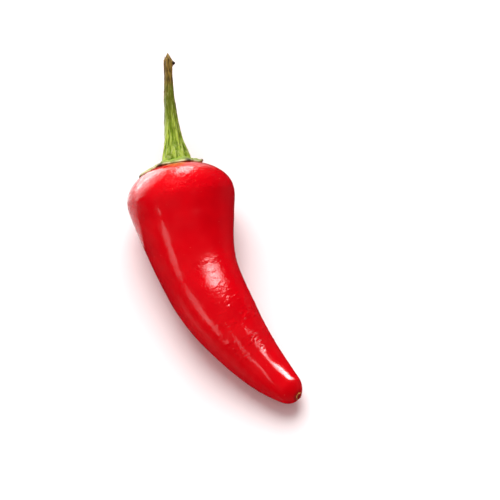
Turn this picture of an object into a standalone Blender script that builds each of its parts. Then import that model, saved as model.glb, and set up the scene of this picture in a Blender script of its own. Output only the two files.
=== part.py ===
"""A stout red chili pepper, as picked, lying on its side: the pod, its calyx and its stem.

The origin is on the floor under the pod's widest ring. +Y points along the stem, +Z is up, and the pod
curves away from the origin towards -Y and +X. All sizes are in metres.
"""

import math

import bmesh
import bpy
import numpy as np

MM = 0.001

# Pod: widest at the shoulder, a crown above it that carries the calyx, and a long bent body to a blunt tip.
SHOULDER_RADIUS = 15.0 * MM
CROWN_HEIGHT = 9.7 * MM
CROWN_DIMPLE_DEPTH = 2.0 * MM
CROWN_DIMPLE_RADIUS = 4.5 * MM
BODY_LENGTH = 65.2 * MM  # from the widest ring to the blossom end, along the centreline
TIP_ROUNDING = 3.2 * MM  # the last stretch, which closes in a blunt end
TIP_BLUNTNESS = 2.3  # exponent of the superellipse that closes the tip
SCAR_RADIUS = 1.0 * MM  # dried scar of the flower, a low button in the blossom end
SCAR_HEIGHT = 0.35 * MM
SCAR_TAPER = 0.7  # its top's width over its foot's

# Radius of the body at a distance from its widest ring.
BODY_RADII = (
    (0.0 * MM, SHOULDER_RADIUS),
    (7.0 * MM, 13.75 * MM),
    (14.0 * MM, 12.2 * MM),
    (21.0 * MM, 11.0 * MM),
    (28.0 * MM, 10.4 * MM),
    (35.0 * MM, 9.65 * MM),
    (42.0 * MM, 8.45 * MM),
    (49.0 * MM, 7.2 * MM),
    (56.0 * MM, 5.85 * MM),
    (BODY_LENGTH, 3.35 * MM),
)
# Heading of the centreline there, in degrees from -Y towards +X.
BODY_HEADINGS = (
    (0.0 * MM, 10.5),
    (5.0 * MM, 11.5),
    (12.0 * MM, 14.0),
    (20.0 * MM, 20.5),
    (30.0 * MM, 30.8),
    (40.0 * MM, 37.6),
    (50.0 * MM, 43.0),
    (BODY_LENGTH, 54.0),
)
# How far the belly would be off the floor there. Where this is below zero it is pressed flat: the pod
# lies on a narrow strip from under its shoulder to near its tip.
BELLY_LIFTS = (
    (0.0 * MM, -0.35 * MM),
    (12.0 * MM, -0.15 * MM),
    (26.0 * MM, -0.25 * MM),
    (40.0 * MM, -0.35 * MM),
    (52.0 * MM, -0.3 * MM),
    (BODY_LENGTH, 2.7 * MM),
)
# How far the centreline dips towards the tip there, in degrees: the crown and the very tip look up.
BODY_PITCHES = (
    (0.0 * MM, 6.5),
    (24.0 * MM, 8.0),
    (48.0 * MM, 6.0),
    (BODY_LENGTH, -24.0),
)
CROWN_CENTRE = (0.0, 0.0, SHOULDER_RADIUS + BELLY_LIFTS[0][1])
CROWN_HEADING = BODY_HEADINGS[0][1]
CROWN_PITCH = BODY_PITCHES[0][1]
LOBES = 3  # seed chambers, which show as a very slight roundness of three sides
LOBE_DEPTH = 0.016  # share of the radius
POD_SIDES = 56
CROWN_RINGS = 14
BODY_RINGS = 36
TIP_RINGS = 10

# Calyx: a thin leathery cap, a rounded six-sided disc with a short tooth at each corner, draped over
# the crown. A groove runs round the foot of the stem, between its seat and a low collar.
PIECE_GAP = 0.3 * MM
CALYX_RADIUS = 7.1 * MM
CALYX_TOOTH_LENGTHS = (1.1 * MM, 0.9 * MM, 1.2 * MM, 3.1 * MM, 1.5 * MM, 1.7 * MM)
CALYX_TOOTH_CURLS = (0.6 * MM, 0.2 * MM, 0.3 * MM, 0.3 * MM, 0.1 * MM, 0.5 * MM)
CALYX_TOOTH_SHARPNESS = 1.7
CALYX_THICKNESS = 0.9 * MM
CALYX_EDGE_THICKNESS = 0.65 * MM
CALYX_RIB_HEIGHT = 0.35 * MM  # a fold runs out to each tooth
CALYX_COLLAR_RADIUS = 5.6 * MM
CALYX_COLLAR_HEIGHT = 0.5 * MM
CALYX_COLLAR_WIDTH = 0.6 * MM
CALYX_SEAT_RADIUS = 4.6 * MM  # flat, under the foot of the stem
CALYX_SEAT_HEIGHT = 10.25 * MM  # above the widest ring
CALYX_SIDES = 72
CALYX_RINGS = 13

# Stem: flared foot, five ridges, a long taper and a torn end beside the stub of a side shoot.
STEM_FOOT = CALYX_SEAT_HEIGHT + PIECE_GAP
STEM_END = 39.6 * MM  # above the widest ring
# Offset towards +X of the stem's centre at a height above the widest ring.
STEM_LEAN = (
    (STEM_FOOT, 0.7 * MM),
    (15.0 * MM, 0.9 * MM),
    (20.0 * MM, 1.25 * MM),
    (27.0 * MM, 1.9 * MM),
    (33.0 * MM, 2.6 * MM),
    (STEM_END, 3.6 * MM),
)
STEM_RADII = (
    (STEM_FOOT, 4.1 * MM),
    (12.5 * MM, 3.75 * MM),
    (15.0 * MM, 3.0 * MM),
    (20.0 * MM, 2.15 * MM),
    (26.5 * MM, 1.65 * MM),
    (33.0 * MM, 1.3 * MM),
    (STEM_END, 1.2 * MM),
)
STEM_RIDGES = 5
STEM_RIDGE_DEPTH = 0.08  # share of the radius
STEM_TWIST = math.radians(40)  # turn of the ridges from foot to end
STEM_SLANT = 0.4 * MM  # the torn end's rim is this much higher on its long side
STEM_SPIKE = 1.3 * MM  # a torn splinter in the middle of the end
STUB_HEIGHT = 38.4 * MM
STUB_ANGLE = math.radians(12)
STUB_LENGTH = 0.95 * MM
STUB_WIDTH = 0.62 * MM
STEM_SIDES = 25
STEM_RINGS = 44

SKIN_RED = (0.62, 0.004, 0.012, 1.0)
CALYX_GREEN = (0.10, 0.15, 0.02, 1.0)
STEM_GREEN = (0.26, 0.36, 0.06, 1.0)


def clear_scene():
    for obj in list(bpy.data.objects):
        bpy.data.objects.remove(obj)


def smooth_through(keys, at, level_start=False):
    """Values at the places `at` of a smooth curve through (place, value) keys."""
    places, values = (np.array(column, float) for column in zip(*keys))
    slopes = np.gradient(values, places)
    if level_start:
        slopes[0] = 0.0
    at = np.clip(np.asarray(at, float), places[0], places[-1])
    i = np.clip(np.searchsorted(places, at) - 1, 0, len(places) - 2)
    span = places[i + 1] - places[i]
    t = (at - places[i]) / span
    return (
        values[i] * (1 + 2 * t) * (1 - t) ** 2
        + slopes[i] * span * t * (1 - t) ** 2
        + values[i + 1] * t**2 * (3 - 2 * t)
        - slopes[i + 1] * span * t**2 * (1 - t)
    )


def angles(sides):
    return np.arange(sides) * 2 * math.pi / sides


def ring_frame(heading, pitch):
    """Right, upward and tipward directions of a ring across the pod, from angles in degrees."""
    heading, pitch = math.radians(heading), math.radians(pitch)
    right = np.array([math.cos(heading), math.sin(heading), 0.0])
    level = np.array([math.sin(heading), -math.cos(heading), 0.0])
    tipward = level * math.cos(pitch) - np.array([0.0, 0.0, math.sin(pitch)])
    return right, np.cross(tipward, right), tipward


def ring_around(right, up, reach):
    """Points at the distances `reach` from a ring's centre, from right through up."""
    phi = angles(POD_SIDES)
    spokes = np.outer(np.cos(phi), right) + np.outer(np.sin(phi), up)
    return spokes * reach[:, None]


def crown_height(radius):
    """Height of the pod's crown above the widest ring at a distance from the axis."""
    dome = CROWN_HEIGHT * np.sqrt(np.clip(1 - (radius / SHOULDER_RADIUS) ** 2, 0, 1))
    dimple = CROWN_DIMPLE_DEPTH * np.exp(-((radius / CROWN_DIMPLE_RADIUS) ** 2))
    return dome - dimple


def lobing(share):
    """Factors on a ring's radius for the seed chambers, at a share from 0, none, to 1, full."""
    return 1 + LOBE_DEPTH * share * np.cos(LOBES * angles(POD_SIDES))


def crown_rings():
    """Rings from the middle of the dimple to just above the widest ring, and the middle itself."""
    right, up, tipward = ring_frame(CROWN_HEADING, CROWN_PITCH)
    rings = []
    for step in range(1, CROWN_RINGS):
        slope = step / CROWN_RINGS * math.pi / 2
        radius = SHOULDER_RADIUS * math.sin(slope)
        middle = CROWN_CENTRE - tipward * crown_height(radius)
        reach = radius * lobing(math.sin(slope) ** 2)
        rings.append(middle + ring_around(right, up, reach))
    return rings, CROWN_CENTRE - tipward * crown_height(0.0)


def body_radius(distance):
    """Radius of the body, with its last stretch rounded to a blunt end."""
    into_tip = (distance - (BODY_LENGTH - TIP_ROUNDING)) / TIP_ROUNDING
    closing = 1 - np.clip(into_tip, 0, 1) ** TIP_BLUNTNESS
    open_radius = smooth_through(BODY_RADII, distance, level_start=True)
    return open_radius * closing ** (1 / TIP_BLUNTNESS)


def body_centres(distances):
    """Centreline points at increasing distances from the widest ring."""
    halfway = (distances[1:] + distances[:-1]) / 2
    headings = np.radians(smooth_through(BODY_HEADINGS, halfway))
    steps = np.diff(distances)
    x = np.concatenate([[0], np.cumsum(np.sin(headings) * steps)])
    y = np.concatenate([[0], np.cumsum(-np.cos(headings) * steps)])
    open_radii = smooth_through(BODY_RADII, distances, level_start=True)
    z = open_radii + smooth_through(BELLY_LIFTS, distances)
    return np.stack([x, y, z], axis=1)


def body_distances():
    """Distances of the body's rings: even along the body, closer where the tip rounds."""
    even = np.linspace(0, BODY_LENGTH - TIP_ROUNDING, BODY_RINGS, endpoint=False)
    turn = np.arange(TIP_RINGS) / TIP_RINGS * math.pi / 2
    return np.concatenate([even, BODY_LENGTH - TIP_ROUNDING * (1 - np.sin(turn))])


def body_rings():
    """Rings from the widest ring to the blossom end and round the scar's button, and its middle."""
    distances = body_distances()
    centres = body_centres(distances)
    headings = smooth_through(BODY_HEADINGS, distances)
    pitches = smooth_through(BODY_PITCHES, distances)
    rings = []
    for distance, centre, heading, pitch in zip(distances, centres, headings, pitches):
        right, up, tipward = ring_frame(heading, pitch)
        reach = body_radius(distance) * lobing(1 - distance / BODY_LENGTH)
        rings.append(centre + ring_around(right, up, reach))
    end = centres[-1] + tipward * (BODY_LENGTH - distances[-1])
    button = ring_around(right, up, np.full(POD_SIDES, SCAR_RADIUS))
    rings.append(end + button)
    rings.append(end + tipward * SCAR_HEIGHT + button * SCAR_TAPER)
    return rings, end + tipward * SCAR_HEIGHT * 0.6


def closed_mesh(name, first_pole, rings, last_pole):
    """A closed mesh through rings of equal length, with a point at each end."""
    bm = bmesh.new()
    rows = [[bm.verts.new(point) for point in ring] for ring in rings]
    for pole, row in ((first_pole, rows[0]), (last_pole, rows[-1])):
        point = bm.verts.new(pole)
        for a, b in zip(row, row[1:] + row[:1]):
            bm.faces.new((a, b, point))
    for near, far in zip(rows, rows[1:]):
        for i in range(len(near)):
            j = (i + 1) % len(near)
            bm.faces.new((near[i], near[j], far[j], far[i]))
    bmesh.ops.recalc_face_normals(bm, faces=bm.faces)
    mesh = bpy.data.meshes.new(name)
    bm.to_mesh(mesh)
    bm.free()
    mesh.shade_smooth()
    return mesh


def natural_material(name, colour, roughness):
    material = bpy.data.materials.new(name)
    material.use_nodes = True
    shader = material.node_tree.nodes["Principled BSDF"]
    shader.inputs["Base Color"].default_value = colour
    shader.inputs["Roughness"].default_value = roughness
    shader.inputs["Metallic"].default_value = 0.0
    return material


def add_piece(mesh, material, parent):
    piece = bpy.data.objects.new(mesh.name, mesh)
    bpy.context.scene.collection.objects.link(piece)
    mesh.materials.append(material)
    piece.parent = parent
    return piece


def place_on_crown(piece):
    """Sets a piece that was made with +Z towards the pod's tip on the crown's axis."""
    piece.location = CROWN_CENTRE
    piece.rotation_euler = (
        math.radians(90 + CROWN_PITCH),
        0.0,
        math.radians(CROWN_HEADING),
    )


def make_pod(parent):
    """The fruit, in the part's frame, with its underside pressed flat where it meets the floor."""
    crown, dimple = crown_rings()
    body, scar = body_rings()
    rings = crown + body
    for ring in rings:
        ring[:, 2] = np.maximum(ring[:, 2], 0.0)
    mesh = closed_mesh("pod", dimple, rings, scar)
    return add_piece(mesh, natural_material("pod_skin", SKIN_RED, 0.18), parent)


def tooth_share(angle):
    """For each direction, the calyx tooth it falls in and how near it is to that tooth's point."""
    turn = np.mod(angle, 2 * math.pi) * len(CALYX_TOOTH_LENGTHS) / (2 * math.pi)
    nearest = np.round(turn)
    share = (1 + np.cos((turn - nearest) * 2 * math.pi)) / 2
    return nearest.astype(int) % len(CALYX_TOOTH_LENGTHS), share**CALYX_TOOTH_SHARPNESS


def calyx_rings(phi):
    """Rings of the cap: outwards over its upper face, then inwards under it."""
    tooth, share = tooth_share(phi)
    outline = CALYX_RADIUS + np.array(CALYX_TOOTH_LENGTHS)[tooth] * share
    curl = np.array(CALYX_TOOTH_CURLS)[tooth] * share
    upper, lower = [], []
    for out in np.arange(1, CALYX_RINGS + 1) / CALYX_RINGS:
        radius = outline * out
        under = crown_height(radius) + PIECE_GAP + curl * out**6
        thickness = CALYX_THICKNESS + (CALYX_EDGE_THICKNESS - CALYX_THICKNESS) * out
        x, y = radius * np.cos(phi), radius * np.sin(phi)
        from_foot = np.hypot(x - STEM_LEAN[0][1], y)
        from_collar = (from_foot - CALYX_COLLAR_RADIUS) / CALYX_COLLAR_WIDTH
        collar = CALYX_COLLAR_HEIGHT * np.exp(-(from_collar**2))
        rib = CALYX_RIB_HEIGHT * share * math.sin(math.pi * out)
        over = under + thickness + collar + rib
        over = np.where(from_foot < CALYX_SEAT_RADIUS, CALYX_SEAT_HEIGHT, over)
        for rings, height in ((upper, over), (lower, under)):
            rings.append(np.stack((x, y, -height), axis=1))
    return upper + lower[::-1]


def make_calyx(parent):
    """The leathery cap, made round the crown's axis with +Z towards the tip."""
    rings = calyx_rings(angles(CALYX_SIDES))
    seat = (0.0, 0.0, -CALYX_SEAT_HEIGHT)
    under = (0.0, 0.0, -(crown_height(0.0) + PIECE_GAP))
    mesh = closed_mesh("calyx", seat, rings, under)
    calyx = add_piece(
        mesh, natural_material("calyx_green", CALYX_GREEN, 0.6), parent
    )
    place_on_crown(calyx)
    return calyx


def stem_rings():
    """Rings from the flared foot to the torn end, and the heights of the two end points."""
    heights = STEM_FOOT + (STEM_END - STEM_FOOT) * np.linspace(0, 1, STEM_RINGS)
    phi = angles(STEM_SIDES)
    rings = []
    for height in heights:
        along = (height - STEM_FOOT) / (STEM_END - STEM_FOOT)
        ridge = 1 + STEM_RIDGE_DEPTH * np.cos(STEM_RIDGES * (phi - STEM_TWIST * along))
        from_stub = np.hypot(
            (height - STUB_HEIGHT) / STUB_WIDTH,
            np.sin((phi - STUB_ANGLE) / 2) * 2 / STUB_WIDTH * STEM_RADII[-1][1],
        )
        stub = STUB_LENGTH * np.exp(-(from_stub**2))
        radius = smooth_through(STEM_RADII, height) * ridge + stub
        lean = smooth_through(STEM_LEAN, height)
        torn = STEM_SLANT * along**30 * np.cos(phi - math.pi / 2 - STUB_ANGLE * 4)
        rings.append(
            np.stack(
                [lean + radius * np.cos(phi), radius * np.sin(phi), -height - torn],
                axis=1,
            )
        )
    return rings


def make_stem(parent):
    """The stem, made round the crown's axis with +Z towards the tip."""
    foot = (STEM_LEAN[0][1], 0.0, -STEM_FOOT)
    end = (STEM_LEAN[-1][1], 0.0, -STEM_END - STEM_SPIKE)
    mesh = closed_mesh("stem", foot, stem_rings(), end)
    stem = add_piece(mesh, natural_material("stem_green", STEM_GREEN, 0.5), parent)
    place_on_crown(stem)
    return stem


def main():
    clear_scene()
    pepper = bpy.data.objects.new("pepper", None)
    bpy.context.scene.collection.objects.link(pepper)
    make_pod(pepper)
    make_calyx(pepper)
    make_stem(pepper)


main()
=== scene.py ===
import math

import bmesh
import bpy
import numpy as np
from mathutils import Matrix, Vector


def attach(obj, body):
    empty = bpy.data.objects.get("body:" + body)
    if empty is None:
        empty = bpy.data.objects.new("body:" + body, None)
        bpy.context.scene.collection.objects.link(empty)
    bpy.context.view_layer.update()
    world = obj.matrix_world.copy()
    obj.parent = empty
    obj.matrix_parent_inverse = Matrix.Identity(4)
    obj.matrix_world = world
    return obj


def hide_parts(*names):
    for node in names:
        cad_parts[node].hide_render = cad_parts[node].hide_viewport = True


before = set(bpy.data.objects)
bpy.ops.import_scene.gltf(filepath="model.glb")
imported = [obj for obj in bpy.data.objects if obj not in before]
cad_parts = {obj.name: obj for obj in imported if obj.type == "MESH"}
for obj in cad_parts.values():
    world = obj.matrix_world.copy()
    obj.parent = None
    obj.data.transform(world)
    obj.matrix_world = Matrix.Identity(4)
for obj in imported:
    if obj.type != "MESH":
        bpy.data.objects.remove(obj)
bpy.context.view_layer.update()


# The pod: one hollow fruit with a glossy, waxy red skin. It is widest at the shoulder, has a crown above
# it that carries the calyx, and bends away to a blunt tip that looks up. It has grown as one closed form,
# made here from rings along its bent middle line and pressed flat where it lies on the floor.
MM = 0.001
SHOULDER_RADIUS = 15.0 * MM
CROWN_HEIGHT = 9.7 * MM
CROWN_DIMPLE_DEPTH = 2.0 * MM
CROWN_DIMPLE_RADIUS = 4.5 * MM
BODY_LENGTH = 65.2 * MM  # from the widest ring to the blossom end
TIP_ROUNDING = 3.2 * MM
TIP_BLUNTNESS = 2.3
SCAR_RADIUS = 1.0 * MM
SCAR_HEIGHT = 0.35 * MM
SCAR_PROFILE = ((0.0, 1.0), (0.6, 0.92), (1.0, 0.7), (0.8, 0.45))  # shares of its height and radius
SCAR_HOLLOW = 0.6  # the height of its middle, as a share
BODY_RADII = (
    (0.0 * MM, SHOULDER_RADIUS),
    (7.0 * MM, 13.75 * MM),
    (14.0 * MM, 12.2 * MM),
    (21.0 * MM, 11.0 * MM),
    (28.0 * MM, 10.4 * MM),
    (35.0 * MM, 9.65 * MM),
    (42.0 * MM, 8.45 * MM),
    (49.0 * MM, 7.2 * MM),
    (56.0 * MM, 5.85 * MM),
    (BODY_LENGTH, 3.35 * MM),
)
BODY_HEADINGS = (  # degrees from -Y towards +X
    (0.0 * MM, 10.5),
    (5.0 * MM, 11.5),
    (12.0 * MM, 14.0),
    (20.0 * MM, 20.5),
    (30.0 * MM, 30.8),
    (40.0 * MM, 37.6),
    (50.0 * MM, 43.0),
    (BODY_LENGTH, 54.0),
)
BELLY_LIFTS = (  # below zero, the belly is pressed flat on the floor
    (0.0 * MM, -0.35 * MM),
    (12.0 * MM, -0.15 * MM),
    (26.0 * MM, -0.25 * MM),
    (40.0 * MM, -0.35 * MM),
    (52.0 * MM, -0.3 * MM),
    (BODY_LENGTH, 2.7 * MM),
)
BODY_PITCHES = (  # degrees that the middle line dips towards the tip
    (0.0 * MM, 6.5),
    (24.0 * MM, 8.0),
    (48.0 * MM, 6.0),
    (BODY_LENGTH, -24.0),
)
CROWN_CENTRE = np.array([0.0, 0.0, SHOULDER_RADIUS + BELLY_LIFTS[0][1]])
CROWN_HEADING = BODY_HEADINGS[0][1]
CROWN_PITCH = BODY_PITCHES[0][1]
LOBES = 3
LOBE_DEPTH = 0.016
POD_SIDES = 224
CROWN_RINGS = 40
BODY_RINGS = 290
TIP_RINGS = 24
CALYX_COVER = 7.1 * MM  # the calyx hides the crown out to here
CALYX_MARGIN = 3.0 * MM  # the relief fades out this near to the calyx
SCAR_MARGIN = 1.0 * MM  # and it ends this near to the scar
SCAR_BLEND = 0.4 * MM

# The marks of growth, as (millimetres along the pod from its widest ring, strength). Wrinkles run across.
WRINKLES = (
    (-4, 0), (-2.5, 0.6), (0.5, 0.6), (2.5, 0),
    (15, 0), (19, 0.8), (29, 0.6), (34, 1.7), (48, 2.2), (51, 0),
)
SCUFFS = ((-5, 0), (-3, 12.0), (1, 12.0), (3, 0), (18.5, 0), (20.5, 6.0), (29, 6.0), (32, 0))
RIPPLES = ((-5, 1.0), (-1, 0.7), (4, 0.35), (12, 0.35), (26, 1.0))
SHOULDER_RIPPLES = ((-5, 0), (-3, 2.2), (1, 2.2), (3.5, 0))
RELIEF_LEFT = ((48.5, 1.0), (51.5, 0.15))  # the tip is almost smooth
WORN_TURN = 45.0  # degrees from the right through the top, where the marks are strongest
WORN_SPREAD = 0.1
LEAST_WORN = 0.12
CLEAR_TURN = 20.0  # the middle of the side without bloom
BLOOM_FADE = 0.5
CROWN_TINT_REACH = 7.5 * MM
CROWN_TINT_FADE = 1.4
WRINKLE_ROUND = SHOULDER_RADIUS * 0.7  # the pod's usual radius
WRINKLE_STRETCH = 0.45  # a wrinkle is longer round the pod than along it
CROWN_SKIN_SCALE = 8.0  # millimetres of skin to each radian of the crown's slope
DENT_ALONG = 21.7 * MM
DENT_TURN = 96.0  # degrees from the right through the top

SKIN_RED = (0.74, 0.0004, 0.0050, 1.0)
DEEP_RED = (0.57, 0.0003, 0.0045, 1.0)
CROWN_ORANGE = (0.80, 0.085, 0.016, 1.0)
FLECK_PALE = (0.86, 0.20, 0.13, 1.0)
SCAR_RED = (0.30, 0.006, 0.006, 1.0)
FLECK_SPACING = 1.6 * MM
FLECK_STRENGTH = 0.35
CROWN_TINT_LEAST = 0.25
WAX = 0.55
WAX_LOST_ON_WRINKLES = 0.17
WRINKLE_DULLNESS = 0.03
SKIN_BUMP = 0.02 * MM  # the next five are heights in terms of this one
PORE_HEIGHT = 0.3
PEEL_HEIGHT = 0.25
PEEL_HEIGHT_IN_BLOOM = 3.4
PEEL_HEIGHT_ON_WRINKLES = 1.6
PEEL_HEIGHT_IN_SCUFFS = 0.5
SCUFF_FINENESS = (2.2, 2.2, 1.0)  # scuffs are rounder than wrinkles


def smooth_through(keys, at, level_start=False):
    """Values at the places `at` of a smooth curve through (place, value) keys."""
    places, values = (np.array(column, float) for column in zip(*keys))
    slopes = np.gradient(values, places)
    if level_start:
        slopes[0] = 0.0
    at = np.clip(np.asarray(at, float), places[0], places[-1])
    i = np.clip(np.searchsorted(places, at) - 1, 0, len(places) - 2)
    span = places[i + 1] - places[i]
    t = (at - places[i]) / span
    return (
        values[i] * (1 + 2 * t) * (1 - t) ** 2
        + slopes[i] * span * t * (1 - t) ** 2
        + values[i + 1] * t**2 * (3 - 2 * t)
        - slopes[i + 1] * span * t**2 * (1 - t)
    )


def angles(sides):
    return np.arange(sides) * 2 * math.pi / sides


def ring_frame(heading, pitch):
    """Right, upward and tipward directions of a ring across the pod, from angles in degrees."""
    heading, pitch = math.radians(heading), math.radians(pitch)
    right = np.array([math.cos(heading), math.sin(heading), 0.0])
    level = np.array([math.sin(heading), -math.cos(heading), 0.0])
    tipward = level * math.cos(pitch) - np.array([0.0, 0.0, math.sin(pitch)])
    return right, np.cross(tipward, right), tipward


def ring_around(right, up, reach):
    """Points at the distances `reach` from a ring's centre, from right through up."""
    phi = angles(len(reach))
    spokes = np.outer(np.cos(phi), right) + np.outer(np.sin(phi), up)
    return spokes * reach[:, None]


def crown_height(radius):
    """Height of the crown above the widest ring at a distance from the axis."""
    dome = CROWN_HEIGHT * np.sqrt(np.clip(1 - (radius / SHOULDER_RADIUS) ** 2, 0, 1))
    dimple = CROWN_DIMPLE_DEPTH * np.exp(-((radius / CROWN_DIMPLE_RADIUS) ** 2))
    return dome - dimple


def lobing(share):
    """Factors on a ring's radius for the three seed chambers inside."""
    return 1 + LOBE_DEPTH * share * np.cos(LOBES * angles(POD_SIDES))


def body_radius(distance):
    """Radius of the body, with its last stretch rounded to a blunt end."""
    into_tip = (distance - (BODY_LENGTH - TIP_ROUNDING)) / TIP_ROUNDING
    closing = 1 - np.clip(into_tip, 0, 1) ** TIP_BLUNTNESS
    open_radius = smooth_through(BODY_RADII, distance, level_start=True)
    return open_radius * closing ** (1 / TIP_BLUNTNESS)


def body_centres(distances):
    """Points of the pod's middle line at increasing distances from the widest ring."""
    halfway = (distances[1:] + distances[:-1]) / 2
    headings = np.radians(smooth_through(BODY_HEADINGS, halfway))
    steps = np.diff(distances)
    x = np.concatenate([[0], np.cumsum(np.sin(headings) * steps)])
    y = np.concatenate([[0], np.cumsum(-np.cos(headings) * steps)])
    open_radii = smooth_through(BODY_RADII, distances, level_start=True)
    z = open_radii + smooth_through(BELLY_LIFTS, distances)
    return np.stack([x, y, z], axis=1)


def pod_rings():
    """Rings from the crown's dimple to the blossom end, how far along each lies, and the two end points."""
    right, up, tipward = ring_frame(CROWN_HEADING, CROWN_PITCH)
    rings, along = [], []
    for step in range(1, CROWN_RINGS):
        slope = step / CROWN_RINGS * math.pi / 2
        radius = SHOULDER_RADIUS * math.sin(slope)
        middle = CROWN_CENTRE - tipward * crown_height(radius)
        reach = radius * lobing(math.sin(slope) ** 2)
        rings.append(middle + ring_around(right, up, reach))
        along.append(radius - SHOULDER_RADIUS)
    dimple = CROWN_CENTRE - tipward * crown_height(0.0)
    even = np.linspace(0, BODY_LENGTH - TIP_ROUNDING, BODY_RINGS, endpoint=False)
    turn = np.arange(TIP_RINGS) / TIP_RINGS * math.pi / 2
    distances = np.concatenate([even, BODY_LENGTH - TIP_ROUNDING * (1 - np.sin(turn))])
    centres = body_centres(distances)
    headings = smooth_through(BODY_HEADINGS, distances)
    pitches = smooth_through(BODY_PITCHES, distances)
    for distance, centre, heading, pitch in zip(distances, centres, headings, pitches):
        right, up, tipward = ring_frame(heading, pitch)
        reach = body_radius(distance) * lobing(1 - distance / BODY_LENGTH)
        rings.append(centre + ring_around(right, up, reach))
        along.append(distance)
    end = centres[-1] + tipward * (BODY_LENGTH - distances[-1])
    button = ring_around(right, up, np.full(POD_SIDES, SCAR_RADIUS))
    for rise, width in SCAR_PROFILE:
        rings.append(end + tipward * SCAR_HEIGHT * rise + button * width)
        along.append(BODY_LENGTH + SCAR_HEIGHT * rise)
    for ring in rings:
        ring[:, 2] = np.maximum(ring[:, 2], 0.0)
    blossom_end = (end + tipward * SCAR_HEIGHT * SCAR_HOLLOW, right, up, tipward)
    return rings, np.array(along), dimple, blossom_end


def strength(keys, along):
    """How strong a mark of growth is at distances along the pod."""
    places, strengths = zip(*keys)
    return np.interp(along / MM, places, strengths)


def pod_marks(along):
    """Named values of the points on every ring: where the skin is wrinkled, scuffed, tinted or smooth."""
    along = np.repeat(along[:, None], POD_SIDES, axis=1)
    turn = np.tile(angles(POD_SIDES), (len(along), 1))
    from_axis = np.where(along < 0, along + SHOULDER_RADIUS, SHOULDER_RADIUS * 2)
    worn = (np.cos(turn - math.radians(WORN_TURN)) + WORN_SPREAD) / (1 - WORN_SPREAD)
    worn = np.clip(worn, LEAST_WORN, 1.0)
    slope = np.arcsin(np.clip(1 + along / SHOULDER_RADIUS, 0, 1))
    over_skin = np.where(along < 0, (slope - math.pi / 2) * CROWN_SKIN_SCALE * MM, along)
    round_skin = (wave(turn) * WRINKLE_ROUND * WRINKLE_STRETCH for wave in (np.cos, np.sin))
    free_of_calyx = np.clip((from_axis - CALYX_COVER) / CALYX_MARGIN, 0, 1)
    return {
        "wrinkled": strength(WRINKLES, along) * worn,
        "skin_place": np.stack((*round_skin, over_skin), axis=2),
        "crown": np.clip(1 - (from_axis - CALYX_COVER) / CROWN_TINT_REACH, 0, 1) ** CROWN_TINT_FADE,
        "free": free_of_calyx * strength(RELIEF_LEFT, along) * (along < BODY_LENGTH - SCAR_MARGIN),
        "rippled": strength(RIPPLES, along) + strength(SHOULDER_RIPPLES, along) * worn,
        "scuffed": strength(SCUFFS, along) * worn,
        "bloom": np.clip(-np.cos(turn - math.radians(CLEAR_TURN)), 0, 1) ** BLOOM_FADE,
        "scar": np.clip((along - BODY_LENGTH + SCAR_BLEND) / SCAR_BLEND, 0, 1),
    }


def closed_mesh(name, first_pole, rings, last_pole, marks):
    """A closed mesh through rings of equal length, with a point at each end, and its named values."""
    bm = bmesh.new()
    rows = [[bm.verts.new(point) for point in ring] for ring in rings]
    poles = [bm.verts.new(first_pole), bm.verts.new(last_pole)]
    for point, row in zip(poles, (rows[0], rows[-1])):
        for a, b in zip(row, row[1:] + row[:1]):
            bm.faces.new((a, b, point))
    for near, far in zip(rows, rows[1:]):
        for i in range(len(near)):
            j = (i + 1) % len(near)
            bm.faces.new((near[i], near[j], far[j], far[i]))
    bmesh.ops.recalc_face_normals(bm, faces=bm.faces)
    mesh = bpy.data.meshes.new(name)
    bm.to_mesh(mesh)
    bm.free()
    mesh.shade_smooth()
    for mark, values in marks.items():
        values = np.asarray(values, float)
        ends = [values[0].mean(axis=0), values[-1].mean(axis=0)]
        kind, field = ("FLOAT_VECTOR", "vector") if values.ndim == 3 else ("FLOAT", "value")
        values = np.concatenate([values.reshape(len(rings) * len(rings[0]), -1), np.reshape(ends, (2, -1))])
        mesh.attributes.new(mark, kind, "POINT").data.foreach_set(field, values.reshape(-1))
    return mesh


def feed(tree, socket, term):
    """Links a socket to another node's output, or gives it a plain value."""
    if isinstance(term, bpy.types.NodeSocket):
        tree.links.new(term, socket)
    else:
        socket.default_value = term


def node(tree, kind, inputs=(), **settings):
    """A new node with its settings, and its inputs fed by name or by number."""
    made = tree.nodes.new(kind)
    for name, value in settings.items():
        setattr(made, name, value)
    for name, term in dict(inputs).items():
        feed(tree, made.inputs[name], term)
    return made


def maths(tree, operation, *terms):
    """One operation on a term or two, or on more of them from left to right."""
    made = node(tree, "ShaderNodeMath", dict(enumerate(terms[:2])), operation=operation).outputs[0]
    return maths(tree, operation, made, *terms[2:]) if terms[2:] else made


def times(tree, *terms):
    return maths(tree, "MULTIPLY", *terms)


def plus(tree, *terms):
    return maths(tree, "ADD", *terms)


def minus(tree, *terms):
    return maths(tree, "SUBTRACT", *terms)


def vector_maths(tree, operation, *terms):
    made = node(tree, "ShaderNodeVectorMath", dict(enumerate(terms)), operation=operation)
    return made.outputs["Value" if operation == "DISTANCE" else "Vector"]


def ramp(tree, value, edges, levels=(0.0, 1.0)):
    """Eases a value that lies between two edges into the range between two levels."""
    inputs = dict(enumerate((value, *edges, *levels)))
    return node(tree, "ShaderNodeMapRange", inputs, interpolation_type="SMOOTHSTEP").outputs[0]


def grain(tree, place, size, seed, detail=3.0, roughness=0.5):
    """Cloudy noise from 0 to 1 with features of about `size` metres."""
    scale = maths(tree, "DIVIDE", 1.0, size)
    inputs = {"Vector": place, "W": seed, "Scale": scale, "Detail": detail, "Roughness": roughness}
    return node(tree, "ShaderNodeTexNoise", inputs, noise_dimensions="4D").outputs[0]


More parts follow.
